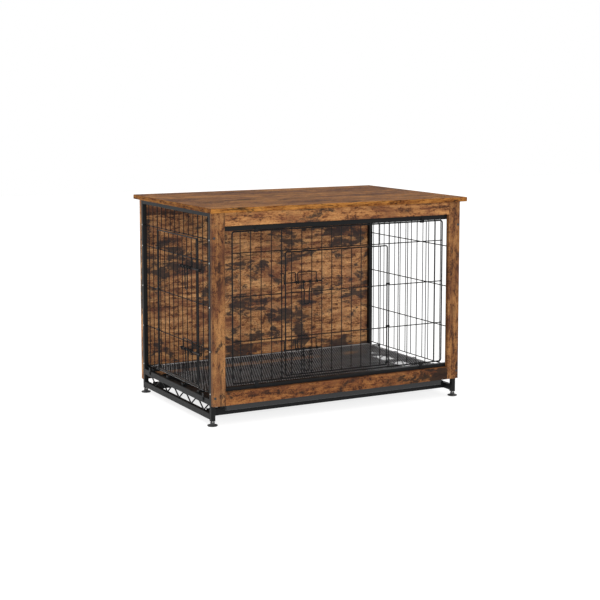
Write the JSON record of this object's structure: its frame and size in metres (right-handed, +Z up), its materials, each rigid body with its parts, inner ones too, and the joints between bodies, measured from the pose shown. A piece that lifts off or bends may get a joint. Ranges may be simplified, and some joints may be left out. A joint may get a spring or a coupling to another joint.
{
  "type": "furniture dog crate",
  "caption": "Furniture-style dog crate: wood top, back panel and front frame on a steel tube frame, with wire panels, hinged wire doors, sliding bolts, a mesh floor and a pull-out tray.",
  "frame": {"origin": "on the floor, under the middle of the table top", "axes": "+X to the crate's right along its length, +Y from the front frame to the back panel, +Z up"},
  "size_m": [0.98, 0.66, 0.71],
  "materials": {
    "rustic_laminate": "rustic brown woodgrain laminate, matt",
    "frame_coat": "satin black powder coat on welded tube",
    "wire_coat": "satin black powder coat on welded wire",
    "mesh_coat": "black powder coat on fine diamond mesh",
    "tray_coat": "smooth black coat",
    "foot_plastic": "moulded black plastic",
    "plug_plastic": "moulded black plastic",
    "zinc_steel": "zinc plated",
    "screw_steel": "black coated screw"
  },
  "bodies": {
    "crate": {"top_board": "rustic_laminate", "back_panel": "rustic_laminate", "left_stile": "rustic_laminate", "right_stile": "rustic_laminate", "front_top_rail": "rustic_laminate", "front_bottom_rail": "rustic_laminate", "front_left_post": "frame_coat", "front_right_post": "frame_coat", "rear_left_post": "frame_coat", "rear_right_post": "frame_coat", "left_top_rail": "frame_coat", "left_base_rail": "frame_coat", "left_lower_rail": "frame_coat", "left_truss": "frame_coat", "right_top_rail": "frame_coat", "right_base_rail": "frame_coat", "right_lower_rail": "frame_coat", "right_truss": "frame_coat", "front_top_beam": "frame_coat", "front_base_beam": "frame_coat", "rear_top_beam": "frame_coat", "rear_base_beam": "frame_coat", "front_cross_rail": "frame_coat", "rear_cross_rail": "frame_coat", "mesh_bearers": "frame_coat", "floor_mesh": "mesh_coat", "mesh_clips": "frame_coat", "front_panel": "wire_coat", "left_panel": "wire_coat", "right_panel": "wire_coat", "wire_ferrules": "wire_coat", "front_panel_clips": "frame_coat", "front_keepers": "wire_coat", "left_keepers": "wire_coat", "post_plugs": "plug_plastic", "frame_screws": "screw_steel"},
    "front_door": {"front_door": "wire_coat", "front_door_hinges": "wire_coat", "front_latch_guides": "wire_coat"},
    "left_door": {"left_door": "wire_coat", "left_door_hinges": "wire_coat", "left_latch_guides": "wire_coat"},
    "tray": {"tray": "tray_coat"},
    "front_lower_bolt": {"front_lower_bolt": "wire_coat"},
    "front_lower_handle": {"front_lower_handle": "wire_coat"},
    "front_upper_bolt": {"front_upper_bolt": "wire_coat"},
    "front_upper_handle": {"front_upper_handle": "wire_coat"},
    "left_lower_bolt": {"left_lower_bolt": "wire_coat"},
    "left_lower_handle": {"left_lower_handle": "wire_coat"},
    "left_upper_bolt": {"left_upper_bolt": "wire_coat"},
    "left_upper_handle": {"left_upper_handle": "wire_coat"},
    "front_left_foot": {"front_left_foot": "foot_plastic", "front_left_foot_stem": "zinc_steel"},
    "front_right_foot": {"front_right_foot": "foot_plastic", "front_right_foot_stem": "zinc_steel"},
    "rear_left_foot": {"rear_left_foot": "foot_plastic", "rear_left_foot_stem": "zinc_steel"},
    "rear_right_foot": {"rear_right_foot": "foot_plastic", "rear_right_foot_stem": "zinc_steel"}
  },
  "joints": [
    {"name": "front_door_hinge", "type": "hinge", "parent": "crate", "child": "front_door", "pos_m": [0.1959, -0.291, 0.345], "axis": [0, 0, 1], "range_deg": [0, 160]},
    {"name": "left_door_hinge", "type": "hinge", "parent": "crate", "child": "left_door", "pos_m": [-0.4685, 0.16245, 0.355], "axis": [0, 0, -1], "range_deg": [0, 160]},
    {"name": "tray_slide", "type": "slide", "parent": "crate", "child": "tray", "axis": [0, -1, 0], "range_m": [0, 0.52]},
    {"name": "front_lower_bolt_slide", "type": "slide", "parent": "front_door", "child": "front_lower_bolt", "axis": [1, 0, 0], "range_m": [-0.015, 0.015]},
    {"name": "front_lower_handle_swing", "type": "hinge", "parent": "front_lower_bolt", "child": "front_lower_handle", "pos_m": [-0.12898, -0.299, 0.227], "axis": [-1, 0, 0], "range_deg": [0, 165]},
    {"name": "front_upper_bolt_slide", "type": "slide", "parent": "front_door", "child": "front_upper_bolt", "axis": [1, 0, 0], "range_m": [-0.015, 0.015]},
    {"name": "front_upper_handle_swing", "type": "hinge", "parent": "front_upper_bolt", "child": "front_upper_handle", "pos_m": [-0.12898, -0.299, 0.451], "axis": [-1, 0, 0], "range_deg": [0, 165]},
    {"name": "left_lower_bolt_slide", "type": "slide", "parent": "left_door", "child": "left_lower_bolt", "axis": [0, 1, 0], "range_m": [-0.015, 0.015]},
    {"name": "left_lower_handle_swing", "type": "hinge", "parent": "left_lower_bolt", "child": "left_lower_handle", "pos_m": [-0.4765, -0.10145, 0.222], "axis": [0, 1, 0], "range_deg": [0, 165]},
    {"name": "left_upper_bolt_slide", "type": "slide", "parent": "left_door", "child": "left_upper_bolt", "axis": [0, 1, 0], "range_m": [-0.015, 0.015]},
    {"name": "left_upper_handle_swing", "type": "hinge", "parent": "left_upper_bolt", "child": "left_upper_handle", "pos_m": [-0.4765, -0.10145, 0.5], "axis": [0, 1, 0], "range_deg": [0, 165]},
    {"name": "front_left_foot_turn", "type": "hinge", "parent": "crate", "child": "front_left_foot", "pos_m": [-0.4685, -0.2845, 0.02], "axis": [0, 0, 1], "continuous": true},
    {"name": "front_right_foot_turn", "type": "hinge", "parent": "crate", "child": "front_right_foot", "pos_m": [0.4685, -0.2845, 0.02], "axis": [0, 0, 1], "continuous": true},
    {"name": "rear_left_foot_turn", "type": "hinge", "parent": "crate", "child": "rear_left_foot", "pos_m": [-0.4685, 0.2845, 0.02], "axis": [0, 0, 1], "continuous": true},
    {"name": "rear_right_foot_turn", "type": "hinge", "parent": "crate", "child": "rear_right_foot", "pos_m": [0.4685, 0.2845, 0.02], "axis": [0, 0, 1], "continuous": true}
  ]
}
